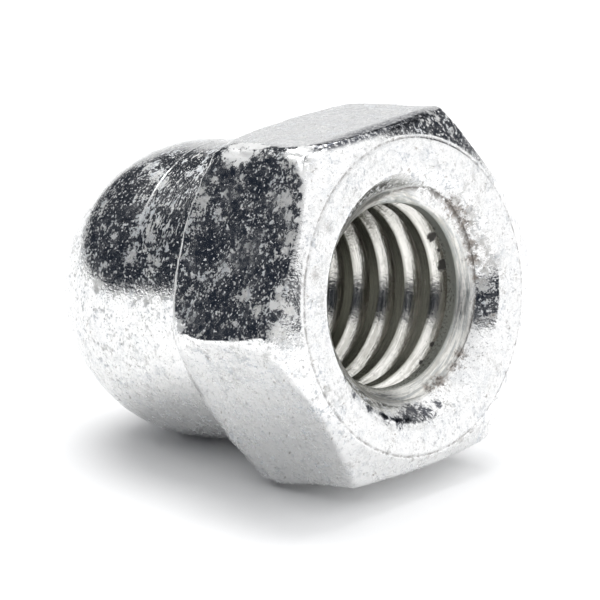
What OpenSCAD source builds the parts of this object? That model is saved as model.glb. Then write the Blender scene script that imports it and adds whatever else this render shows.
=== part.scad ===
// Domed cap nut for an M5 thread, turned in one piece from hexagon bar.
// It lies on its dome and the rear edge of one flat, with its mouth towards +X.
// The origin is the centre of the bearing face, on the thread's axis.

/* [Hexagon] */
// Width across the flats
across_flats = 7.8; // [7.4:0.05:8.4]
// Height of the hexagon, from the bearing face to the dome's neck
hex_height = 4.05; // [3.6:0.05:4.6]
// Diameter of the flat bearing face
bearing_d = 7.2; // [6.6:0.05:7.3]
// Slope of the chamfer round the bearing face, away from the face
front_chamfer_angle = 30; // [15:1:40]
// Slope of the chamfer round the dome's side, away from the face
rear_chamfer_angle = 34; // [15:1:40]

/* [Dome] */
// Height of the whole nut, from the bearing face to the dome's top
nut_height = 9.65; // [9.2:0.05:10.4]
// Diameter of the dome and of the neck that it stands on
dome_d = 6.86; // [6.4:0.02:7.2]

/* [Thread] */
// Nominal diameter of the thread
thread_d = 5; // [4.6:0.1:5.2]
// Pitch of the thread
thread_pitch = 0.8; // [0.5:0.05:1]
// Depth of the tap drill's straight wall below the bearing face
drill_depth = 7.2; // [5:0.1:7.4]
// Angle of the tap drill's point
drill_point_angle = 118; // [90:1:140]
// Diameter of the countersink's mouth
countersink_d = 5.75; // [5.4:0.05:6.2]
// Angle of the countersink
countersink_angle = 90; // [80:1:120]

/* [Hidden] */
$fn = 96;
overlap = 0.05;
corner_r = across_flats / 2 / cos(30);

// A tap drill is as wide as the thread less one pitch.
drill_r = (thread_d - thread_pitch) / 2;
drill_point_h = drill_r / tan(drill_point_angle / 2);
countersink_r = countersink_d / 2;
countersink_h = (countersink_r - drill_r) / tan(countersink_angle / 2);

// The nut rolls back until its dome and one flat's rear edge touch the floor:
// lie_angle is the slope of the line that touches both.
dome_centre_h = nut_height - dome_d / 2;
flat_end_h = hex_height - (across_flats - dome_d) / 2 * tan(rear_chamfer_angle);
edge_to_centre = [dome_centre_h - flat_end_h, across_flats / 2];
lie_angle = atan2(edge_to_centre.y, edge_to_centre.x) - asin(dome_d / 2 / norm(edge_to_centre));

// Half outline of the two chamfers, wide enough to clear the corners.
function chamfer_outline(bearing_r, neck_r, wide_r) = [
    [0, 0],
    [bearing_r, 0],
    [wide_r, -(wide_r - bearing_r) * tan(front_chamfer_angle)],
    [wide_r, -hex_height + (wide_r - neck_r) * tan(rear_chamfer_angle)],
    [neck_r, -hex_height],
    [0, -hex_height]
];

// Hexagon bar, whose corners both chamfers turn down.
module hexagon() {
    intersection() {
        translate([0, 0, -hex_height])
            rotate([0, 0, 30])
                cylinder(r = corner_r, h = hex_height, $fn = 6);
        rotate_extrude()
            polygon(chamfer_outline(bearing_d / 2, dome_d / 2, corner_r + overlap));
    }
}

// Straight neck with a half ball on it.
module dome() {
    translate([0, 0, -dome_centre_h]) {
        sphere(d = dome_d);
        cylinder(d = dome_d, h = dome_centre_h - hex_height + overlap);
    }
}

// Blind tap hole: countersunk mouth, straight wall and the drill's point.
module tap_hole() {
    translate([0, 0, -drill_depth]) {
        cylinder(r = drill_r, h = drill_depth + overlap);
        translate([0, 0, -drill_point_h])
            cylinder(r1 = 0, r2 = drill_r, h = drill_point_h);
    }
    translate([0, 0, -countersink_h])
        cylinder(r1 = drill_r, r2 = countersink_r, h = countersink_h);
    cylinder(r = countersink_r, h = overlap);
}

// The nut as it lies: one flat faces down and the mouth looks slightly up.
module cap_nut() {
    color("silver")
        rotate([0, 90 - lie_angle, 0])
            difference() {
                union() {
                    hexagon();
                    dome();
                }
                tap_hole();
            }
}

cap_nut();
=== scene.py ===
import math

import bpy
import numpy as np
from mathutils import Matrix, Vector


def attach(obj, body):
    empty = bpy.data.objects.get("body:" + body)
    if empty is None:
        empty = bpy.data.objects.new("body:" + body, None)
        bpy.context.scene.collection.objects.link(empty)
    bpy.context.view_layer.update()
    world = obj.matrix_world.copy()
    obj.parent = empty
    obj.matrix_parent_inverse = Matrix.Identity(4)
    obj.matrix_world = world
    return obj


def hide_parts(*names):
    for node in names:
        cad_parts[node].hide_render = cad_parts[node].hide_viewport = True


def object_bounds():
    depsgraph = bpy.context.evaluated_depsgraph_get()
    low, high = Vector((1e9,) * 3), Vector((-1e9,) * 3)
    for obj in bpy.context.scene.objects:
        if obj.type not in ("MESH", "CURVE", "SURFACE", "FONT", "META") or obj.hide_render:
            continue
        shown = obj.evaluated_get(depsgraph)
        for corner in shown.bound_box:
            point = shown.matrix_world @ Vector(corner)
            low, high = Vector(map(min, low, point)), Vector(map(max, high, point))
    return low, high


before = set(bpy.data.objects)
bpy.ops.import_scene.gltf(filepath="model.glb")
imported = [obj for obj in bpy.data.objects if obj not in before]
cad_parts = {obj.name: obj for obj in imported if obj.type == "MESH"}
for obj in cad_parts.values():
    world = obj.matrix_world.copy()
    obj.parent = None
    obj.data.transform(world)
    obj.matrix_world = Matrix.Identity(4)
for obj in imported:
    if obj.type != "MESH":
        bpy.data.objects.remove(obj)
cad_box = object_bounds()

MM = 0.001
TAU = 2 * math.pi

# The nut's lengths, as part.scad has them, in millimetres.
ACROSS_FLATS = 7.8
HEX_HEIGHT = 4.05
BEARING_R = 3.6
FRONT_SLOPE = math.tan(math.radians(30))
REAR_SLOPE = math.tan(math.radians(34))
NUT_HEIGHT = 9.65
DOME_R = 3.43
MINOR_R = 2.1
PITCH = 0.8
DRILL_DEPTH = 7.2
DRILL_POINT_H = MINOR_R / math.tan(math.radians(59))
SINK_R = 2.875

DOME_CENTRE = NUT_HEIGHT - DOME_R
APOTHEM = ACROSS_FLATS / 2


def lie_angle():
    """Slope of the floor in the nut's own frame: it touches the dome and one flat's rear edge."""
    flat_end = HEX_HEIGHT - (APOTHEM - DOME_R) * REAR_SLOPE
    along = DOME_CENTRE - flat_end
    return math.atan2(APOTHEM, along) - math.asin(DOME_R / math.hypot(along, APOTHEM))


LIE = lie_angle()


# ---------------------------------------------------------------- noise
def hash_grid(ix, iy, iz, seed):
    """One number from 0 to 1 for each lattice point."""
    h = ix * 374761393 + iy * 668265263 + iz * 2147483647 + seed * 974634777
    h = (h ^ (h >> 13)) * 1274126177
    h = h ^ (h >> 16)
    return (h & 0xFFFFFF).astype(float) / 0xFFFFFF


def value_noise(points, size, seed):
    """Smooth noise from -1 to 1 at the points, with features of the given size."""
    p = np.asarray(points, float) / size + 1000.0
    base = np.floor(p).astype(np.int64)
    f = p - base
    f = f * f * f * (f * (f * 6 - 15) + 10)
    out = np.zeros(len(p))
    for corner in range(8):
        dx, dy, dz = corner & 1, (corner >> 1) & 1, (corner >> 2) & 1
        weight = np.where(dx, f[:, 0], 1 - f[:, 0])
        weight = weight * np.where(dy, f[:, 1], 1 - f[:, 1])
        weight = weight * np.where(dz, f[:, 2], 1 - f[:, 2])
        out += weight * hash_grid(base[:, 0] + dx, base[:, 1] + dy, base[:, 2] + dz, seed)
    return out * 2 - 1


def rise(value, low, high):
    t = np.clip((value - low) / (high - low), 0, 1)
    return t * t * (3 - 2 * t)


# ---------------------------------------------------------------- shape
# Columns are angles round the nut's axis, from +Y towards +Z, and a is the distance along the
# axis from the bearing face, positive out of the mouth. Flats face 30, 90, ... degrees.
CORNER_OFFSETS = (0, .35, .75, 1.2, 1.75, 2.4, 3.2, 4.2, 5.5, 7.1, 9.0, 11.1, 13.3, 15.5, 17.7,
                  19.9, 22.0, 24.0, 26.0, 28.0)


def column_angles():
    """Angles of the mesh's columns in radians, closer together at the hexagon's corners."""
    angles = []
    for corner in range(6):
        for offset in CORNER_OFFSETS:
            angles.append(corner * 60 + offset)
        angles.append(corner * 60 + 30)
        for offset in CORNER_OFFSETS[:0:-1]:
            angles.append(corner * 60 + 60 - offset)
    return np.radians(np.array(angles, float))


THETA = column_angles()
COLUMNS = len(THETA)

EDGE_STEPS = (0, .02, .045, .08, .125, .18, .25)


def spread(length, middle):
    """Distances along a segment of each column's length: close together at both ends."""
    steps = np.array(EDGE_STEPS)
    squeeze = np.minimum(1, length / (2.6 * steps[-1]))
    start = steps[:, None] * squeeze
    gap = length - 2 * start[-1]
    inner = start[-1] + gap * (np.arange(1, middle) / middle)[:, None]
    return np.concatenate([start, inner, (length - start)[::-1]])


def along(p, q, middle, ends=True):
    """Rows of (r, a) from p to q, where each is a pair of values per column."""
    p = [np.broadcast_to(v, COLUMNS).astype(float) for v in p]
    q = [np.broadcast_to(v, COLUMNS).astype(float) for v in q]
    length = np.hypot(q[0] - p[0], q[1] - p[1])
    if ends:
        t = spread(length, middle) / length
    else:
        t = np.repeat((np.arange(middle + 1) / middle)[:, None], COLUMNS, 1)
    return p[0] + (q[0] - p[0]) * t, p[1] + (q[1] - p[1]) * t


def hexagon_radius(theta):
    """Radius of the hexagon's outline at each angle."""
    nearest = np.radians(60) * np.floor(theta / np.radians(60)) + np.radians(30)
    return APOTHEM / np.cos(theta - nearest)


def smooth_solid(r, a, theta, rounding):
    """Signed distance of a point from the hexagon with worn edges, positive outside."""
    parts = [a, (a + (r - BEARING_R) * FRONT_SLOPE) / math.hypot(1, FRONT_SLOPE)]
    parts.append(((r - DOME_R) * REAR_SLOPE - HEX_HEIGHT - a) / math.hypot(1, REAR_SLOPE))
    parts.append((SINK_R + a - r) / math.sqrt(2))
    for flat in range(6):
        parts.append(r * np.cos(theta - np.radians(30 + 60 * flat)) - APOTHEM)
    total = 0
    for d in parts:
        total = total + np.maximum(0, d + rounding) ** 2
    return np.sqrt(total) - rounding


# A ring inside the metal, as (radius, place along the axis), that every edge is pulled towards.
CORE_RING = (3.05, -1.9)
CORE_HALVINGS = 30


def round_edges(r, a, rounding):
    """Pulls sharp points in towards the core ring until they lie on the worn solid."""
    theta = np.broadcast_to(THETA, r.shape)
    ring_r, ring_a = CORE_RING
    near = np.zeros_like(r)
    far = np.ones_like(r)
    for _ in range(CORE_HALVINGS):
        t = (near + far) / 2
        inside = smooth_solid(ring_r + (r - ring_r) * t, ring_a + (a - ring_a) * t,
                              theta, rounding) < 0
        near = np.where(inside, t, near)
        far = np.where(inside, far, t)
    return ring_r + (r - ring_r) * far, ring_a + (a - ring_a) * far


def in_frame(r, a, theta):
    """Points of the nut's own frame: (a, y, z)."""
    return np.stack([a, r * np.cos(theta), r * np.sin(theta)], -1)


RIM_DEPTH = 0.12

# Stretches where an edge between two flats is worn down: the corner's angle in degrees, the
# middle and half length along the axis, and how much wider the rounding is there.
WORN_STRETCHES = (
    (120, -2.60, 0.72, 0.40),
    (120, -0.66, 0.42, 0.36),
    (120, -1.50, 0.20, 0.16),
    (180, -0.75, 0.40, 0.10),
    (180, -3.10, 0.35, 0.08),
    (60, -1.10, 0.50, 0.12),
    (0, -2.20, 0.70, 0.10),
    (240, -1.60, 0.45, 0.08),
    (300, -2.70, 0.60, 0.12),
)


FACE_WEAR = 0.035
SIDE_WEAR = 0.075
WEAR_LIMITS = (0.02, 0.55)


def edge_wear(r, a, theta):
    """Radius of the rounding that each point's nearest edge has. It is larger at the hexagon's
    rear, most of all on the side flat, and at the lower side of the mouth."""
    points = in_frame(r, a, theta).reshape(-1, 3)
    coarse = value_noise(points, 0.7, 3).reshape(r.shape)
    fine = value_noise(points, 0.22, 4).reshape(r.shape)
    wear = np.where(a > -RIM_DEPTH, FACE_WEAR, SIDE_WEAR)
    wear = wear + np.where(a < -3.0, 0.03 + 0.15 * rise(np.degrees(theta), 135, 180), 0.0)
    mouth = (r < 3.3) * np.clip(1.4 - np.abs(np.degrees(theta) - 235) / 30, 0, 1)
    wear = wear * (1 + 0.4 * coarse + 0.35 * fine) + 0.09 * mouth * (1 + 0.4 * fine)
    for corner, middle, half, more in WORN_STRETCHES:
        away = np.degrees(np.abs((theta - math.radians(corner) + math.pi) % TAU - math.pi))
        near = np.clip(1.6 - away / 5.5, 0, 1)
        reach = np.clip(1.5 - np.abs(a - middle) / half - 0.5 * fine, 0, 1)
        wear = wear + more * near * reach * (1 + 0.35 * fine)
    return np.clip(wear, *WEAR_LIMITS)


# A fine turned line where the bearing face ends.
GROOVE_DEPTH = 0.014
GROOVE_WIDTH = 0.03


def hexagon_rows():
    corner = hexagon_radius(THETA)
    front_a = -(corner - BEARING_R) * FRONT_SLOPE
    rear_a = -HEX_HEIGHT + (corner - DOME_R) * REAR_SLOPE
    sink = along((SINK_R - RIM_DEPTH, -RIM_DEPTH), (SINK_R, 0), 5, ends=False)
    face = along((SINK_R, 0), (BEARING_R, 0), 5)
    front = along((BEARING_R, 0), (corner, front_a), 5)
    side = along((corner, front_a), (corner, rear_a), 16)
    rear = along((corner, rear_a), (DOME_R, -HEX_HEIGHT), 4)
    parts = [sink, face, front, side, rear]
    r = np.concatenate([part[0][min(n, 1):] for n, part in enumerate(parts)])
    a = np.concatenate([part[1][min(n, 1):] for n, part in enumerate(parts)])
    theta = np.broadcast_to(THETA, r.shape)
    wear = edge_wear(r, a, theta)
    r[1:-1], a[1:-1] = round_edges(r[1:-1], a[1:-1], wear[1:-1])
    r[:len(sink[0])] += bowl(a[:len(sink[0])])
    turned = GROOVE_DEPTH * np.exp(-((r - BEARING_R) / GROOVE_WIDTH) ** 2)
    a = a - turned * (a > -0.2)
    return r, a


# A faint raised ring where the neck runs into the dome.
RING_A = -5.72
RING_HEIGHT = 0.009
RING_HALF = 0.035


def dome_rows():
    step = RING_HALF * 0.6
    near_ring = RING_A + step * np.arange(5, -6, -1)
    neck_a = np.concatenate([np.linspace(-HEX_HEIGHT, near_ring[0] + 0.1, 9), near_ring,
                             np.linspace(near_ring[-1] - 0.15, -DOME_CENTRE, 4)])
    wander = value_noise(in_frame(3, 0 * THETA, THETA), 1.1, 8)
    raised = np.exp(-((neck_a[:, None] - RING_A - 0.03 * wander) / RING_HALF) ** 2)
    neck_r = DOME_R + RING_HEIGHT * raised * (0.6 + 0.8 * wander)
    neck = (neck_r, np.repeat(neck_a[:, None], COLUMNS, 1))
    angle = np.radians(np.linspace(0, 90, 31)[1:-1])[:, None]
    cap_r = np.repeat(DOME_R * np.cos(angle), COLUMNS, 1)
    cap_a = np.repeat(-DOME_CENTRE - DOME_R * np.sin(angle), COLUMNS, 1)
    return np.concatenate([neck[0][1:], cap_r]), np.concatenate([neck[1][1:], cap_a])


# The thread: half the width of its crest land, its root's radius, the flanks' slope, and where the
# middle of ridge 0's land lies along the axis at angle 0.
CREST_HALF = 0.135
FLANK_WIDTH = 0.255
ROOT_DEPTH = 0.38
LAND_CENTRE = -0.77
THREAD_STEPS = (0, .07, .112, .128, .14, .156, .18, .215, .26, .31, .35, .385)

# The countersink's cone ends on a ledge, whose depth changes round the mouth: angles in degrees,
# and where the ledge lies along the axis.
LEDGE_ANGLES = (-180, -96, 0, 56, 72, 90, 180)
LEDGE_A = (-0.65, -0.53, -0.40, -0.32, -0.42, -0.60, -0.65)
LEDGE_DROP = 0.13
BOWL = -0.028
BOWL_DEPTH = 0.42


def thread_radius(distance):
    """Radius of the thread's surface at a distance along the axis from a crest's middle. The
    flanks are hollow: flatter at the crest and steeper at the root."""
    d = np.abs((distance + PITCH / 2) % PITCH - PITCH / 2)
    down = np.clip((d - CREST_HALF) / FLANK_WIDTH, -1, 1.02)
    soft = 0.05
    down = 0.5 * (down + np.sqrt(down ** 2 + soft ** 2)) - 0.5 * soft * np.exp(-np.abs(down) / soft)
    down = np.where(d < CREST_HALF * 0.55, 0, np.clip(down, 0, 1))
    return MINOR_R + ROOT_DEPTH * (1 - (1 - down) ** 0.8)


def ledge_at(theta):
    """Where the cone ends, at each angle."""
    half_turned = (np.asarray(theta) + math.pi) % TAU - math.pi
    return np.interp(np.degrees(half_turned), LEDGE_ANGLES, LEDGE_A)


def bowl(a):
    """How far the countersink is hollowed out beyond a straight cone."""
    t = np.clip(-a / BOWL_DEPTH, 0, 1)
    return 4 * BOWL * t * (1 - t)


def sink_radius(a, theta):
    end = ledge_at(theta)
    cone = SINK_R + a + bowl(a)
    drop = SINK_R + end - (end - a) * (SINK_R + end - MINOR_R + 0.02) / LEDGE_DROP
    return np.where(a > end, cone, drop)


def bore_radius(a, theta):
    thread = thread_radius(a - LAND_CENTRE - PITCH * theta / TAU)
    fade = np.clip((a + DRILL_DEPTH - 0.3) / 0.6, 0, 1)
    thread = MINOR_R + (thread - MINOR_R) * fade
    return np.maximum(thread, sink_radius(a, theta))


def row_offsets(turns):
    """Distances from crest 0's middle of one column's rows, going deeper."""
    half = list(THREAD_STEPS)
    period = half + [PITCH / 2] + [PITCH - s for s in half[:0:-1]]
    rows = []
    for turn in range(-2, turns):
        rows += [-(turn * PITCH + s) for s in period]
    return np.array(rows)


def bore_grid():
    """Rows that follow the thread's helix, so that the last column meets the first one a turn on."""
    offsets = row_offsets(10)
    theta = np.append(THETA, TAU)
    a = LAND_CENTRE + offsets[:, None] + PITCH * theta / TAU
    top = -RIM_DEPTH
    bottom = -DRILL_DEPTH
    theta = np.broadcast_to(theta, a.shape)
    a = snap_to_sink(a, theta)
    a = np.clip(a, bottom, top)
    return bore_radius(a, theta), a, theta


MOUTH_HALVINGS = 24


def snap_to_sink(a, theta):
    """Moves the nearest rows to the ledge, and to where the thread breaks out into the mouth."""
    a = a.copy()
    for j in range(a.shape[1]):
        t = theta[0, j]
        edge = ledge_at(t)
        for level in (edge, edge - LEDGE_DROP):
            a[np.argmin(np.abs(a[:, j] - level)), j] = level
    a = -np.sort(-a, axis=0)
    gap = mouth_gap(a, theta)
    rows, cols = np.nonzero((gap[:-1] > 0) != (gap[1:] > 0))
    for i, j in zip(rows, cols):
        high, low = a[i, j], a[i + 1, j]
        if high > 0.2 or low < -1.2:
            continue
        level = break_out(high, low, theta[i, j], gap[i, j] > 0)
        nearest = i if abs(high - level) < abs(low - level) else i + 1
        a[nearest, j] = level
    return a


def break_out(high, low, theta, outside):
    """Where between two rows of a column the mouth's cut starts or stops to lie outside."""
    for _ in range(MOUTH_HALVINGS):
        middle = (high + low) / 2
        if (mouth_gap(middle, theta) > 0) == outside:
            high = middle
        else:
            low = middle
    return middle


def mouth_gap(a, theta):
    """How far the mouth's cut lies outside the thread."""
    return sink_radius(a, theta) - thread_radius(a - LAND_CENTRE - PITCH * theta / TAU)


# ---------------------------------------------------------------- mesh
def ring_faces(start, rows):
    """Quads between the rows of a closed tube whose vertices start at that index."""
    i = np.arange(rows - 1)[:, None]
    j = np.arange(COLUMNS)[None, :]
    k = (j + 1) % COLUMNS
    base = start + i * COLUMNS
    quads = np.stack([base + j, base + COLUMNS + j, base + COLUMNS + k, base + k], -1)
    return quads.reshape(-1, 4)


def grid_faces(start, rows, columns):
    i = np.arange(rows - 1)[:, None]
    j = np.arange(columns - 1)[None, :]
    base = start + i * columns
    quads = np.stack([base + j, base + j + 1, base + columns + j + 1, base + columns + j], -1)
    return quads.reshape(-1, 4)


def fan_faces(ring, centre, flip):
    nxt = np.roll(ring, -1)
    order = [ring, nxt] if flip else [nxt, ring]
    return np.stack(order + [np.full(len(ring), centre)], -1)


def nut_mesh():
    hex_r, hex_a = hexagon_rows()
    cap_r, cap_a = dome_rows()
    r = np.concatenate([hex_r, cap_r])
    a = np.concatenate([hex_a, cap_a])
    outer = in_frame(r, a, np.broadcast_to(THETA, r.shape)).reshape(-1, 3)
    bore_r, bore_a, bore_theta = bore_grid()
    inner = in_frame(bore_r, bore_a, bore_theta).reshape(-1, 3)
    pole = np.array([[-NUT_HEIGHT, 0, 0]])
    point = np.array([[-DRILL_DEPTH - DRILL_POINT_H, 0, 0]])
    wall = in_frame(np.full(COLUMNS, MINOR_R), np.full(COLUMNS, -DRILL_DEPTH), THETA)
    points = np.concatenate([outer, inner, pole, point, wall])
    inner_start = len(outer)
    pole_index = inner_start + len(inner)
    wall_start = pole_index + 2
    quads = np.concatenate([
        ring_faces(0, len(r)),
        grid_faces(inner_start, len(bore_r), COLUMNS + 1),
    ])
    last_ring = np.arange(COLUMNS) + (len(r) - 1) * COLUMNS
    wall_ring = np.arange(COLUMNS) + wall_start
    tris = np.concatenate([
        fan_faces(last_ring, pole_index, False),
        fan_faces(wall_ring, pole_index + 1, True),
    ])
    return points, [quads, tris]


WELD_DISTANCE = 1e-5


def weld(points, faces):
    """Merges points that share a place, and drops the faces that this closes."""
    key = np.round(points / WELD_DISTANCE).astype(np.int64)
    _, index, inverse = np.unique(key, axis=0, return_index=True, return_inverse=True)
    inverse = inverse.reshape(-1)
    merged = points[index]
    polygons = []
    for group in faces:
        for face in inverse[group].tolist():
            ring = [v for n, v in enumerate(face) if v != face[n - 1]]
            if len(set(ring)) == len(ring) and len(ring) > 2:
                polygons.append(ring)
    return merged, polygons


def to_world(points):
    c, s = math.cos(LIE), math.sin(LIE)
    a, y, z = points.T
    return np.stack([a * c - z * s, y, a * s + z * c], -1) * MM


def rear_edge(r, a, theta):
    """1 along the hexagon's bright worn rear edge, which is widest on the side flat."""
    corner = hexagon_radius(theta)
    away = np.hypot(r - corner, a + HEX_HEIGHT - (corner - DOME_R) * REAR_SLOPE)
    width = 0.02 + 0.05 * rise(np.degrees(theta), 135, 176)
    return 1 - rise(away, width, width + 0.035)


def add_zones(mesh, points):
    """Numbers from 0 to 1 on the vertices, by which the material tells the nut's regions apart."""
    a = points[:, 0]
    r = np.hypot(points[:, 1], points[:, 2])
    theta = np.arctan2(points[:, 2], points[:, 1])
    degrees = np.degrees(theta)
    below_top = np.abs((APOTHEM - r * np.sin(theta)) * 1.3 + 0.02)
    on_front = rise(a, -0.75, -0.6) * rise(r, 3.62, 3.68)
    behind_hexagon = 1 - rise(a, -HEX_HEIGHT - 0.03, -HEX_HEIGHT + 0.03)
    on_upper_side = 1 - rise(np.abs(degrees - 110), 30, 50)
    zones = {
        "edge": rear_edge(r, a, theta),
        # brow: where the material paints a dark band of shade along the front chamfer's top edge
        "brow": (1 - rise(below_top, 0.12, 0.26)) * on_front * rise(degrees, 60, 72),
        "groove": (1 - rise(np.abs(r - BEARING_R), 0.006, 0.035)) * (a > -0.12),
        "face": rise(r, 2.90, 2.96) * (1 - rise(r, 3.56, 3.62)) * (a > -0.12),
        "crack": np.exp(-((a - ledge_at(theta)) / 0.02) ** 2) * (np.abs(a) < 0.72) * (r < 2.62),
        "bore": (1 - rise(r, 2.40, 2.56)) * (1 - rise(a, -0.50, -0.36)) * (a > -8.6),
        "dome": behind_hexagon,
        "neck": rise(a, -5.75, -5.55) * on_upper_side * behind_hexagon,
        "land": 1 - rise(r, MINOR_R + 0.01, MINOR_R + 0.05),
        "lip": (1 - rise(r, 2.44, 2.52)) * (1 - rise(a, -0.44, -0.40)) * rise(a, -0.95, -0.6),
    }
    for name, values in zones.items():
        layer = mesh.attributes.new(name, "FLOAT", "POINT")
        layer.data.foreach_set("value", values.astype(np.float32))


def build_nut():
    points, faces = nut_mesh()
    points, polygons = weld(points, faces)
    mesh = bpy.data.meshes.new("cap_nut_plated")
    mesh.from_pydata(to_world(points).tolist(), [], polygons)
    mesh.validate()
    mesh.polygons.foreach_set("use_smooth", [True] * len(mesh.polygons))
    mesh.set_sharp_from_angle(angle=math.radians(34))
    add_zones(mesh, points)
    nut = bpy.data.objects.new("cap_nut_plated", mesh)
    bpy.context.scene.collection.objects.link(nut)
    return nut


# ---------------------------------------------------------------- materials
class Graph:
    """Short calls that add nodes to a tree and link them."""

    def __init__(self, tree):
        self.nodes = tree.nodes
        self.links = tree.links
        self.nodes.clear()

    def node(self, kind, settings=(), inputs=()):
        made = self.nodes.new(kind)
        for name, value in dict(settings).items():
            setattr(made, name, value)
        for name, value in dict(inputs).items():
            self.feed(made.inputs[name], value)
        return made

    def feed(self, socket, value):
        if isinstance(value, bpy.types.NodeSocket):
            self.links.new(value, socket)
        else:
            socket.default_value = value

    def math(self, operation, first, second=0.0, clamp=False):
        made = self.node("ShaderNodeMath", {"operation": operation, "use_clamp": clamp},
                         {0: first, 1: second})
        return made.outputs[0]

    def step(self, value, low, high, bottom=0.0, top=1.0):
        """Rises smoothly from bottom to top while value goes from low to high."""
        made = self.node("ShaderNodeMapRange", {"interpolation_type": "SMOOTHSTEP"},
                         {"Value": value, "From Min": low, "From Max": high,
                          "To Min": bottom, "To Max": top})
        return made.outputs["Result"]

    def noise(self, vector, scale, detail=2.0, roughness=0.5, distortion=0.0):
        made = self.node("ShaderNodeTexNoise", {}, {
            "Vector": vector, "Scale": scale, "Detail": detail,
            "Roughness": roughness, "Distortion": distortion})
        return made.outputs["Fac"]

    def mix(self, factor, first, second):
        made = self.node("ShaderNodeMix", {"data_type": "RGBA"}, {0: factor, 6: first, 7: second})
        return made.outputs[2]

    def blend(self, factor, first, second):
        made = self.node("ShaderNodeMix", {"data_type": "FLOAT"}, {0: factor, 2: first, 3: second})
        return made.outputs[0]

    def attribute(self, name):
        return self.node("ShaderNodeAttribute", {"attribute_name": name}).outputs["Fac"]

    def vector(self, x, y, z):
        return self.node("ShaderNodeCombineXYZ", {}, {0: x, 1: y, 2: z}).outputs[0]

    def scaled(self, value, factor, more=0.0):
        made = self.node("ShaderNodeMath", {"operation": "MULTIPLY_ADD"},
                         {0: value, 1: factor, 2: more})
        return made.outputs[0]

    def marks(self, points, marks, edge, ragged, fray):
        """Rises from 0 to 1 inside round marks, each (place, radius), whose rims the noise frays."""
        nearest = -1.0
        for place, radius in marks:
            away = self.node("ShaderNodeVectorMath", {"operation": "DISTANCE"},
                             {0: points, 1: tuple(place)}).outputs["Value"]
            nearest = self.math("MAXIMUM", nearest, self.scaled(away, -1 / radius, 1.0))
        frayed = self.math("ADD", nearest, self.scaled(ragged, fray, -0.5 * fray))
        return self.step(frayed, 0.0, edge)


PER_MM = 1000.0


def on_nut(*marks):
    """Marks given in the nut's own frame as (place along the axis, angle in degrees, distance from
    the axis, the mark's radius), turned into (place, radius) in the shader's millimetres."""
    placed = []
    for a, angle, r, size in marks:
        t = math.radians(angle)
        point = to_world(np.array([[a, r * math.cos(t), r * math.sin(t)]]))[0] * PER_MM
        placed.append(([float(v) for v in point], size))
    return placed


# Where the plating has gone matt: the side flat, its rear edge, and the chamfer's corner below it.
MATT_MARKS = on_nut(
    (-0.80, 135, 4.05, 0.34), (-0.60, 140, 3.95, 0.22), (-0.40, 147, 3.90, 0.27),
    (-0.45, 151, 3.90, 0.22), (-3.30, 136, 4.05, 0.26), (-3.45, 133, 4.10, 0.16),
    (-2.80, 124, 4.35, 0.18), (-2.30, 128, 4.20, 0.12), (-2.75, 139, 4.00, 0.13),
    (-3.10, 129, 4.15, 0.13), (-0.50, 125, 4.20, 0.26), (-0.90, 171, 4.15, 0.24),
    (-0.35, 168, 4.05, 0.26), (-0.15, 171, 3.90, 0.22), (-0.30, 177, 4.20, 0.30),
    (-3.20, 176, 4.30, 0.18), (-1.50, 175, 4.25, 0.14), (-0.29, 351, 2.59, 0.21),
    (-0.20, 358, 2.68, 0.16), (-0.30, 63, 4.11, 0.15), (-0.36, 66, 4.20, 0.12),
)
# Bright bare metal along the side flat's upper edge.
BARE_MARKS = on_nut(
    (-3.15, 120, 4.46, 0.14), (-2.92, 121, 4.42, 0.24), (-2.66, 121, 4.42, 0.27),
    (-2.38, 121, 4.42, 0.26), (-2.10, 120, 4.46, 0.18), (-1.80, 119, 4.50, 0.08),
    (-1.02, 119, 4.50, 0.10), (-0.78, 121, 4.44, 0.18), (-0.52, 121, 4.42, 0.21),
    (-0.32, 122, 4.36, 0.16), (-3.05, 117, 4.38, 0.17), (-2.85, 116.5, 4.37, 0.21),
    (-2.62, 116.5, 4.36, 0.22), (-2.38, 116.5, 4.36, 0.22), (-2.15, 117, 4.38, 0.18),
    (-2.55, 124, 4.32, 0.13), (-0.92, 117, 4.38, 0.12), (-0.70, 117, 4.37, 0.15),
    (-0.48, 117, 4.36, 0.16), (-0.45, 126, 4.27, 0.12), (-0.38, 131, 4.13, 0.11),
    (-0.34, 136, 4.02, 0.11), (-0.29, 141, 3.95, 0.09), (-0.46, 169, 4.12, 0.15),
    (-0.38, 164, 4.02, 0.11), (-1.62, 120, 4.48, 0.10), (-1.95, 117, 4.40, 0.10),
)
# Cloudy pale blotches on the dome's side.
CLOUD_MARKS = on_nut(
    (-5.69, 138, 3.43, 0.24), (-6.32, 146, 3.43, 0.16), (-5.66, 154, 3.43, 0.27),
    (-4.79, 156, 3.43, 0.18), (-5.18, 146, 3.43, 0.22), (-5.75, 145, 3.43, 0.16),
    (-6.35, 112, 3.43, 0.28), (-5.95, 117, 3.43, 0.30), (-5.60, 122, 3.43, 0.26),
    (-4.97, 116, 3.43, 0.16), (-4.78, 114, 3.43, 0.16), (-7.20, 132, 3.28, 0.20),
    (-2.10, 158, 4.05, 0.30), (-1.40, 166, 4.10, 0.30),
)
RUST_MARKS = on_nut(
    (-0.33, 42, 2.52, 0.22), (-0.31, 36, 2.56, 0.31), (-0.35, 27, 2.54, 0.26),
    (-0.37, 15, 2.51, 0.25), (-0.38, 6, 2.50, 0.25), (-0.45, 314, 2.46, 0.20),
    (-0.46, 306, 2.45, 0.20), (-0.50, 292, 2.42, 0.26), (-0.53, 285, 2.38, 0.20),
    (-0.40, 356, 2.48, 0.10),
    (-0.09, 337, 2.79, 0.08), (-0.22, 12, 2.66, 0.06),
)
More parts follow.
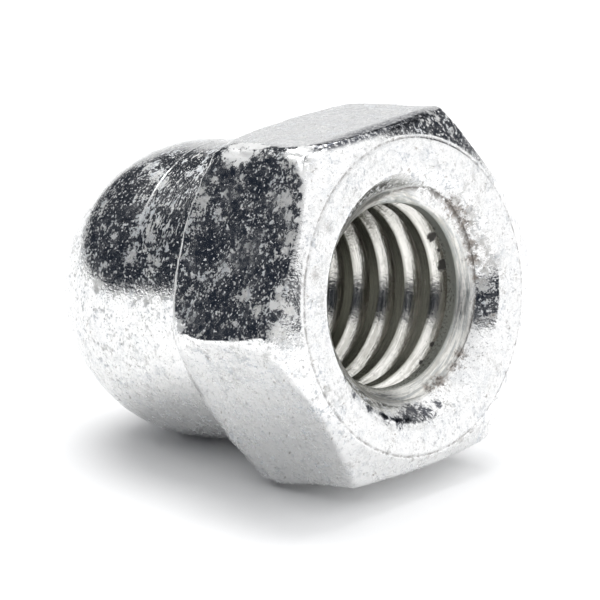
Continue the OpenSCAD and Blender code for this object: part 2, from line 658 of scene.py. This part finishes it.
STAIN_MARKS = on_nut(
    (-0.17, 30, 2.70, 0.45), (-0.19, 14, 2.68, 0.45), (-0.12, 3, 2.76, 0.35),
    (-0.22, 42, 2.65, 0.30), (-0.25, 262, 2.60, 0.35), (-0.48, 296, 2.44, 0.30),
    (-0.28, 4, 2.58, 0.28), (-0.28, 354, 2.58, 0.22), (-0.16, 8, 2.72, 0.25),
    (0.00, 138, 3.25, 0.22), (0.00, 158, 3.30, 0.25), (-0.04, 284, 3.66, 0.16),
    (-0.04, 291, 3.66, 0.12), (-0.06, 307, 3.70, 0.13), (-0.03, 266, 3.66, 0.11),
    (-0.25, 86, 2.62, 0.16),
)
# Near-black patches painted on the lower-left of the mouth's rim: painted shade.
SHADE_PATCH_MARKS = on_nut(
    (-0.28, 262, 2.60, 0.30), (-0.20, 270, 2.68, 0.28), (-0.15, 256, 2.72, 0.25),
    (-0.06, 240, 2.82, 0.18), (-0.05, 228, 2.84, 0.16), (-0.06, 249, 2.82, 0.20),
    (-0.04, 216, 2.86, 0.15), (-0.22, 280, 2.66, 0.15),
    (-0.03, 206, 2.87, 0.09),
)
PIT_MARKS = on_nut(
    (-1.26, 21, 2.33, 0.13), (-1.27, 3, 2.38, 0.15), (-1.25, 12, 2.36, 0.05),
    (-1.33, 318, 2.40, 0.08), (-1.38, 305, 2.37, 0.09), (-1.12, 36, 2.28, 0.05),
)


# ---------------------------------------------------------------- colours
# The plating's colour. The dome's and the bearing face's copies are painted darker than the hexagon's,
# so that their brighter reflections stay off white: a painted shade.
HEXAGON_METAL = (0.97, 0.97, 0.965, 1)
DOME_METAL_SHADED = (0.91, 0.91, 0.905, 1)
FACE_METAL_SHADED = (0.87, 0.87, 0.865, 1)
GROOVE_METAL = (0.89, 0.875, 0.83, 1)
LAND_METAL = (0.46, 0.455, 0.40, 1)
LAND_LINE = (0.30, 0.29, 0.25, 1)
LIP_METAL = (0.40, 0.42, 0.42, 1)
FIRST_LAND = (0.41, 0.43, 0.40, 1)
OXIDE_COOL = (0.67, 0.71, 0.755, 1)
OXIDE_WARM = (0.76, 0.755, 0.735, 1)
OXIDE_MATT = (0.80, 0.785, 0.75, 1)
CHALK_DARK = (0.25, 0.27, 0.30, 1)
CHALK_LIGHT = (0.98, 0.98, 0.98, 1)
GRIME = (0.45, 0.44, 0.42, 1)
SOIL_DARK = (0.30, 0.27, 0.24, 1)
SOIL_LIGHT = (0.58, 0.56, 0.53, 1)
PINHOLE = (0.22, 0.20, 0.18, 1)
RUST_DARK = (0.13, 0.105, 0.09, 1)
RUST_LIGHT = (0.50, 0.43, 0.38, 1)
PIT = (0.10, 0.095, 0.09, 1)
SEAM = (0.15, 0.13, 0.115, 1)
SCRATCH = (0.33, 0.30, 0.27, 1)
# The white of the painted glints, tiny painted highlights.
PAINTED_GLINT = (0.97, 0.97, 0.97, 1)
BARE_METAL = (0.95, 0.95, 0.94, 1)
# Near-black colours of painted shade: patches on the mouth's lower-left rim, and a band along the
# front chamfer's top edge.
SHADE_PATCH = (0.06, 0.065, 0.08, 1)
BROW_SHADE = (0.075, 0.08, 0.095, 1)
BLACK = (0.0, 0.0, 0.0, 1)

# The corrosion's grains, as (noise scale per millimetre, weight), and how much coarser a grain is
# that runs across the drawn neck.
GRAINS = ((17, 0.95), (7, 0.8), (2.2, 0.6), (0.8, 0.35))
DRAWN_SCALE = 0.42
DRAWN_STRETCH = 2.6
GRAIN_CONTRAST = 11.5
GRAIN_STRENGTH = 0.095

# Roughness of the regions, and the depth of the bump in metres.
PLATED_ROUGH = 0.14
OXIDE_ROUGH = 0.62
BUMP_STRENGTH = 0.35
BUMP_DEPTH = 0.02 * MM


class Plating:
    """Worn plating, with painted glints and painted shade, built up in one node tree: what covers the
    metal where, and how each part of it looks. Every mask is a socket that goes from 0 to 1."""

    def __init__(self, g):
        self.g = g
        self.coordinates()
        self.corrosion()
        self.bare_metal()
        self.dirt()
        self.turning_lines()

    def largest(self, *masks):
        total = masks[0]
        for mask in masks[1:]:
            total = self.g.math("MAXIMUM", total, mask)
        return total

    def product(self, *masks):
        total = masks[0]
        for mask in masks[1:]:
            total = self.g.math("MULTIPLY", total, mask)
        return total

    def inverse(self, mask):
        return self.g.math("SUBTRACT", 1.0, mask)

    def coordinates(self):
        """Places on the nut in millimetres, along its axis and across it, and its regions."""
        g = self.g
        place = g.node("ShaderNodeTexCoord").outputs["Object"]
        scale = g.node("ShaderNodeVectorMath", {"operation": "SCALE"}, {0: place, "Scale": PER_MM})
        self.p = scale.outputs[0]
        x, self.y, z = g.node("ShaderNodeSeparateXYZ", {}, {0: self.p}).outputs
        c, s = math.cos(LIE), math.sin(LIE)
        self.a = g.math("ADD", g.scaled(x, c), g.scaled(z, s))
        self.up = g.math("ADD", g.scaled(x, -s), g.scaled(z, c))
        self.drawn = g.vector(g.scaled(self.a, DRAWN_STRETCH), self.y, self.up)
        for name in ("bore", "dome", "neck", "land", "lip", "face", "edge", "brow", "groove", "crack"):
            setattr(self, name, g.attribute(name))
        self.mottle = g.noise(self.p, 11, 4, 0.8)
        self.fray = g.noise(self.p, 6.0, 4, 0.7)

    def corrosion(self):
        """Pale corrosion: specks where the grains of every size add up, a veil, and matt patches."""
        g, p = self.g, self.p
        level = 0.0
        for scale, weight in GRAINS:
            even = g.noise(p, scale, 2, 0.6)
            drawn = g.noise(self.drawn, scale * DRAWN_SCALE, 2, 0.6)
            part = g.blend(g.math("MULTIPLY", self.neck, 0.85), even, drawn)
            level = g.math("ADD", level, g.scaled(part, weight, -0.5 * weight))
        self.level = g.math("MULTIPLY", level, g.scaled(self.neck, 0.75, 1.0))
        cover = g.step(g.noise(p, 5.0, 3, 0.6), 0.38, 0.60, 0.4, 1.0)
        grown = g.math("EXPONENT", g.math("MULTIPLY", self.level, GRAIN_CONTRAST))
        specks = g.math("MULTIPLY", grown, GRAIN_STRENGTH, True)
        specks = self.product(specks, cover)
        veil = g.blend(0.5, g.noise(p, 1.6, 5, 0.7), g.noise(p, 7, 3, 0.7))
        clear = self.largest(g.scaled(self.neck, 0.8), g.scaled(self.dome, 0.25))
        veil = self.product(g.step(veil, 0.43, 0.63, 0.0, 0.31), self.inverse(clear))
        cloud = self.product(g.marks(p, CLOUD_MARKS, 0.9, self.mottle, 4.5), 0.62)
        veil = self.largest(veil, cloud)
        self.patch = g.step(g.noise(p, 2.0, 6, 0.66, 0.3), 0.60, 0.72, 0, 0.7)
        matt = g.marks(p, MATT_MARKS, 0.8, self.mottle, 3.6)
        self.matt = self.product(matt, g.step(g.noise(p, 9, 3, 0.7), 0.36, 0.6, 0.45, 0.85))
        oxide = self.largest(specks, veil, self.patch, self.matt)
        self.oxide = g.math("MULTIPLY", oxide, self.inverse(self.bore), True)

    def bare_metal(self):
        """Bright metal: worn edges and the pale land of the thread's first turn; and painted glints,
        tiny white dots that stand in for facets catching the light.
        """
        g = self.g
        self.bare = self.largest(g.marks(self.p, BARE_MARKS, 0.35, self.mottle, 2.8), self.edge)
        # Painted glints: white dots that stand in for tiny facets catching the light, a painted
        # highlight.
        painted_glints = g.step(g.noise(self.p, 17, 1, 0.5), 0.665, 0.74)
        self.painted_glints = self.product(painted_glints, self.inverse(self.bore))
        first = self.product(self.land, g.step(self.a, -1.25, -1.08, 0.22, 0.8))
        grain = g.step(g.noise(self.p, 17, 3, 0.7), 0.35, 0.65, 1.0, 0.55)
        self.first = self.product(first, grain)
        self.whitened = self.largest(self.bare, self.first, self.painted_glints)

    def dirt(self):
        """Dark dirt: pinholes and scratches all over, and rust, stains and pits where they lie. Also
        painted shade: dark patches on the mouth's rim and a dark band along the front chamfer's top
        edge.
        """
        g, p = self.g, self.p
        self.pinholes = self.product(g.step(g.noise(p, 13, 3, 0.75), 0.68, 0.76), 0.75)
        self.rust = self.product(g.marks(p, RUST_MARKS, 1.0, self.mottle, 4.2), 0.85)
        self.stain = g.marks(p, STAIN_MARKS, 1.8, self.mottle, 2.4)
        self.pits = g.marks(p, PIT_MARKS, 0.3, self.fray, 2.0)
        # Painted shade: near-black patches on the mouth's lower-left rim.
        self.shade_patches = self.product(g.marks(p, SHADE_PATCH_MARKS, 0.7, self.mottle, 4.0), 0.95)
        slant = g.vector(g.scaled(g.math("ADD", self.a, self.up), 1.6),
                         g.scaled(g.math("SUBTRACT", self.up, self.a), 6.0),
                         g.scaled(self.y, 4.0))
        self.scratches = self.product(g.step(g.noise(slant, 1.5, 3, 0.65), 0.635, 0.71), 0.7)
        self.grime = self.product(g.step(g.noise(p, 4.0, 5, 0.75), 0.56, 0.74), 0.42)
        # A dark ragged line painted along the ledge, where the countersink's cone drops to the thread.
        crack = self.product(self.crack, g.step(self.fray, 0.36, 0.52, 0.0, 0.9))
        groove = self.product(self.groove, g.step(self.fray, 0.42, 0.62, 0.1, 0.65))
        self.seam = self.largest(crack, groove)
        # Painted shade: a near-black band along the front chamfer's top edge, below the top flat.
        self.shade = self.product(self.brow, g.step(self.mottle, 0.47, 0.60, 1.0, 0.25))
        spots = self.largest(self.pinholes, self.rust, self.pits, self.stain)
        self.soiled = self.largest(spots, self.seam)

    def turning_lines(self):
        """Fine turning lines: one set follows the thread and the other rings the mouth."""
        g, y, up = self.g, self.y, self.up
        angle = g.math("ARCTAN2", up, y)
        wound = g.math("SUBTRACT", self.a, g.math("MULTIPLY", angle, PITCH / TAU))
        self.lines = g.noise(g.vector(g.scaled(wound, 16.0), g.scaled(y, 0.9), g.scaled(up, 0.9)),
                             1.0, 3, 0.7)
        radius = g.math("SQRT", g.math("ADD", g.math("MULTIPLY", y, y), g.math("MULTIPLY", up, up)))
        across = g.scaled(g.math("ADD", radius, self.a), 14.0)
        self.rings = g.noise(g.vector(across, g.scaled(y, 1.6), g.scaled(up, 1.6)), 1.0, 4, 0.75)

    def oxide_color(self):
        g = self.g
        tint = self.largest(self.matt, self.product(self.patch, 0.5))
        cool = g.mix(g.step(g.noise(self.p, 2.5, 3, 0.6), 0.4, 0.6), OXIDE_COOL, OXIDE_WARM)
        pale = g.mix(tint, cool, OXIDE_MATT)
        chalk = g.noise(self.p, 13, 3, 0.7)
        pale = g.mix(g.step(chalk, 0.34, 0.5, 0.3, 0.0), pale, CHALK_DARK)
        return g.mix(g.step(chalk, 0.5, 0.68, 0.0, 0.8), pale, CHALK_LIGHT)

    def metal_color(self):
        g = self.g
        inside = g.mix(self.land, GROOVE_METAL, LAND_METAL)
        inside = g.mix(g.step(self.lines, 0.38, 0.56, 0.5, 0.0), inside, LAND_LINE)
        grey = self.product(self.lip, g.step(self.rings, 0.40, 0.58, 0.85, 0.0))
        inside = g.mix(grey, inside, LIP_METAL)
        # The dome and the bearing face get the darker copies of the plating's colour, a painted shade.
        outer = g.mix(self.dome, HEXAGON_METAL, DOME_METAL_SHADED)
        outer = g.mix(self.face, outer, FACE_METAL_SHADED)
        metal = g.mix(self.bore, outer, inside)
        tone = g.scaled(g.noise(self.p, 5.0, 4, 0.8), 0.9, 0.56)
        return g.mix(g.math("SUBTRACT", 1.0, tone, True), metal, BLACK)

    def color(self):
        """The metal, and over it the corrosion, the dirt, what has worn bright again, painted glints
        and painted shade.
        """
        g, p = self.g, self.p
        soil = g.mix(g.step(g.noise(p, 6, 3, 0.7), 0.42, 0.58), SOIL_DARK, SOIL_LIGHT)
        rusty = g.mix(g.step(g.noise(p, 14, 2, 0.6), 0.4, 0.6), RUST_DARK, RUST_LIGHT)
        layers = (
            (self.oxide, self.oxide_color()),
            (self.grime, GRIME),
            (self.product(self.stain, 0.8), soil),
            (self.pinholes, PINHOLE),
            (self.rust, rusty),
            (self.product(self.pits, 0.92), PIT),
            (self.seam, SEAM),
            (self.scratches, SCRATCH),
            (self.product(self.painted_glints, 0.9), PAINTED_GLINT),
            (self.bare, BARE_METAL),
            (self.first, FIRST_LAND),
            (self.shade_patches, SHADE_PATCH),
            (self.shade, BROW_SHADE),
        )
        total = self.metal_color()
        for mask, layer in layers:
            total = g.mix(mask, total, layer)
        return total

    def metallic(self):
        g = self.g
        clean = self.product(g.scaled(self.oxide, -0.6, 1.0), g.scaled(self.soiled, -0.85, 1.0))
        return self.product(clean, g.scaled(self.whitened, -0.9, 1.0))

    def roughness(self):
        g = self.g
        smooth = g.blend(self.bore, PLATED_ROUGH, g.scaled(self.lines, 0.3, 0.06))
        smooth = g.blend(self.product(self.lip, 0.8), smooth, g.scaled(self.rings, 0.5, 0.12))
        rough = g.blend(g.step(self.oxide, 0.1, 0.6), smooth, OXIDE_ROUGH)
        return self.largest(rough, self.product(self.soiled, 0.75), self.product(self.whitened, 0.5))

    def bump(self):
        """Ripples, grains, flakes on the neck, bumps under the painted glints, turning lines and
        sunken dirt.
        """
        g = self.g
        ripple = g.noise(self.p, 3.0, 3, 0.6)
        flakes = self.product(g.noise(self.drawn, 9.0, 2, 0.6), self.neck)
        height = g.math("ADD", g.scaled(ripple, 0.8), g.scaled(self.level, 0.6))
        height = g.math("ADD", height, self.product(flakes, 0.3))
        height = g.math("ADD", height, self.product(self.painted_glints, 1.2))
        height = g.math("ADD", height, self.product(self.lines, self.bore, 1.1))
        height = g.math("SUBTRACT", height, self.product(self.soiled, 0.4))
        made = g.node("ShaderNodeBump", {}, {
            "Strength": BUMP_STRENGTH, "Distance": BUMP_DEPTH, "Height": height})
        return made.outputs[0]


def new_material(name):
    material = bpy.data.materials.new(name)
    material.use_nodes = True
    return material, Graph(material.node_tree)


def plated_material():
    material, g = new_material("plated_steel")
    plating = Plating(g)
    shader = g.node("ShaderNodeBsdfPrincipled", {}, {
        "Base Color": plating.color(), "Metallic": plating.metallic(),
        "Roughness": plating.roughness(), "Normal": plating.bump()})
    g.node("ShaderNodeOutputMaterial", {}, {"Surface": shader.outputs[0]})
    return material


# How pale the floor is to the light, and how much more of it metal and camera see.
FLOOR_PALE = (0.90, 0.90, 0.90, 1)
FLOOR_MORE = (("Is Glossy Ray", 0.22), ("Is Camera Ray", 0.38))


def floor_material():
    """A matt white floor. The camera sees it a little over white, so that it runs into the
    background and only the shadow shows, and the metal sees it somewhat less so."""
    material, g = new_material("floor_white")
    white = g.node("ShaderNodeBsdfDiffuse", {}, {"Color": FLOOR_PALE}).outputs[0]
    path = g.node("ShaderNodeLightPath").outputs
    mixed = white
    for ray, more in FLOOR_MORE:
        extra = g.node("ShaderNodeBsdfDiffuse", {}, {"Color": (more, more, more, 1)}).outputs[0]
        seen = g.node("ShaderNodeAddShader", {}, {0: white, 1: extra}).outputs[0]
        mixed = g.node("ShaderNodeMixShader", {}, {0: path[ray], 1: mixed, 2: seen}).outputs[0]
    g.node("ShaderNodeOutputMaterial", {}, {"Surface": mixed})
    return material


# ---------------------------------------------------------------- stage
FLOOR_HALF = 3.0


def build_floor(height):
    mesh = bpy.data.meshes.new("floor")
    side = FLOOR_HALF
    corners = [(x, y, height) for x, y in ((-side, -side), (side, -side), (side, side), (-side, side))]
    mesh.from_pydata(corners, [], [(0, 1, 2, 3)])
    floor = bpy.data.objects.new("floor", mesh)
    bpy.context.scene.collection.objects.link(floor)
    mesh.materials.append(floor_material())


def direction(azimuth, elevation):
    """The way towards a camera at that azimuth and elevation."""
    az, el = math.radians(azimuth), math.radians(elevation)
    return (math.sin(az) * math.cos(el), -math.cos(az) * math.cos(el), math.sin(el))


# The studio's light: a wide softbox overhead, which is brighter towards one azimuth, a small bright
# key, and upright panels round the stage, given by azimuth and by their upper and lower edges'
# elevation at both ends. The rest of the studio is dark, and the metal shows it.
OVERHEAD = {"azimuth": 60, "elevation": 88, "radius": 50, "bright": 0.92}
KEY = {"azimuth": 235, "elevation": 63, "radius": 22, "bright": 4.2}
LEAN = 0.5
LEAN_AZIMUTH = 150
PANELS = (
    {"left": 48, "right": 84, "low": 36, "low_end": 15, "top": 48, "top_end": 48, "bright": 1.06},
    {"left": 81, "right": 149, "top": 45, "top_end": 45, "bright": 1.04},
    {"left": 146, "right": 188, "top": 16, "top_end": 1, "bright": 1.0},
    {"left": 187, "right": 238, "top": 32, "top_end": 13, "bright": 0.66},
)
STUDIO_DARK = (0.010, 0.014, 0.023)
PANEL_SOFT = 0.03
DISC_SOFT = 3


def dot(g, vector, fixed):
    made = g.node("ShaderNodeVectorMath", {"operation": "DOT_PRODUCT"}, {0: vector, 1: fixed})
    return made.outputs["Value"]


def side_of(g, towards, left, right, height, height_end, soft):
    """Rises from 0 to 1 above the edge that runs from one azimuth and elevation to another."""
    edge = Vector(direction(left, height)).cross(Vector(direction(right, height_end))).normalized()
    return g.step(dot(g, towards, tuple(edge if edge.z > 0 else -edge)), -soft, soft)


def panel(g, towards, left, right, top, top_end, bright, low=None, low_end=None):
    """Light from between two azimuths, below a slanting upper edge and above a lower one."""
    soft = PANEL_SOFT
    after = dot(g, towards, (math.cos(math.radians(left)), math.sin(math.radians(left)), 0))
    before = dot(g, towards, (math.cos(math.radians(right)), math.sin(math.radians(right)), 0))
    lit = g.math("MULTIPLY", g.step(after, -soft, soft), g.step(before, soft, -soft))
    above = side_of(g, towards, left, right, top, top_end, soft)
    lit = g.math("MULTIPLY", lit, g.math("SUBTRACT", 1.0, above))
    if low is not None:
        lit = g.math("MULTIPLY", lit, side_of(g, towards, left, right, low, low_end, soft))
    return g.math("MULTIPLY", lit, bright)


def disc(g, towards, azimuth, elevation, radius, bright):
    """Light from a round softbox of that angular radius."""
    over = dot(g, towards, direction(azimuth, elevation))
    outer, inner = (math.cos(math.radians(radius + soft)) for soft in (DISC_SOFT, -DISC_SOFT))
    return g.math("MULTIPLY", g.step(over, outer, inner), bright)


def build_world():
    world = bpy.data.worlds.new("studio")
    bpy.context.scene.world = world
    world.use_nodes = True
    g = Graph(world.node_tree)
    towards = g.node("ShaderNodeTexCoord").outputs["Generated"]
    lean = g.scaled(dot(g, towards, direction(LEAN_AZIMUTH, 0)), LEAN, 1.0)
    overhead = g.math("MULTIPLY", disc(g, towards, **OVERHEAD), lean)
    total = g.math("MAXIMUM", overhead, disc(g, towards, **KEY))
    for sides in PANELS:
        total = g.math("MAXIMUM", total, panel(g, towards, **sides))
    light = g.node("ShaderNodeCombineColor", {}, {0: total, 1: total, 2: total}).outputs[0]
    color = g.node("ShaderNodeMix", {"data_type": "RGBA", "blend_type": "ADD"}, {
        0: 1.0, 6: STUDIO_DARK + (1,), 7: light}).outputs[2]
    path = g.node("ShaderNodeLightPath")
    seen = g.mix(path.outputs["Is Camera Ray"], color, (1, 1, 1, 1))
    background = g.node("ShaderNodeBackground", {}, {"Color": seen, "Strength": 1})
    g.node("ShaderNodeOutputWorld", {}, {"Surface": background.outputs[0]})


# The photo's camera. The target is how far the view's middle lies right of and above the origin,
# in millimetres, as the camera's distance is. The lens is in millimetres on the sensor's width.
CAMERA_AZIMUTH = 41.82
CAMERA_ELEVATION = 17.89
CAMERA_ROLL = -0.795
CAMERA_DISTANCE = 206.94
CAMERA_LENS = 553.5
TARGET_RIGHT = -2.571
TARGET_UP = -0.074
SENSOR_WIDTH = 36
CLIP = (0.01, 20)


def build_camera():
    az, roll = math.radians(CAMERA_AZIMUTH), math.radians(CAMERA_ROLL)
    back = Vector(direction(CAMERA_AZIMUTH, CAMERA_ELEVATION))
    level = Vector((math.cos(az), math.sin(az), 0))
    right = level * math.cos(roll) + back.cross(level) * math.sin(roll)
    up = back.cross(right)
    place = back * CAMERA_DISTANCE * MM
    target = (right * TARGET_RIGHT + up * TARGET_UP) * MM
    back = (place - target).normalized()
    right = (right - back * right.dot(back)).normalized()
    up = back.cross(right)
    data = bpy.data.cameras.new("camera")
    data.lens = CAMERA_LENS
    data.sensor_width = SENSOR_WIDTH
    data.clip_start, data.clip_end = CLIP
    camera = bpy.data.objects.new("camera", data)
    bpy.context.scene.collection.objects.link(camera)
    turn = Matrix((right, up, back)).transposed().to_4x4()
    camera.matrix_world = Matrix.Translation(place) @ turn
    bpy.context.scene.camera = camera


nut = build_nut()
nut.data.materials.append(plated_material())
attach(nut, "root")
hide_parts("cap_nut")
build_floor(cad_box[0][2])
build_world()
build_camera()
bpy.context.scene.view_settings.view_transform = "Standard"
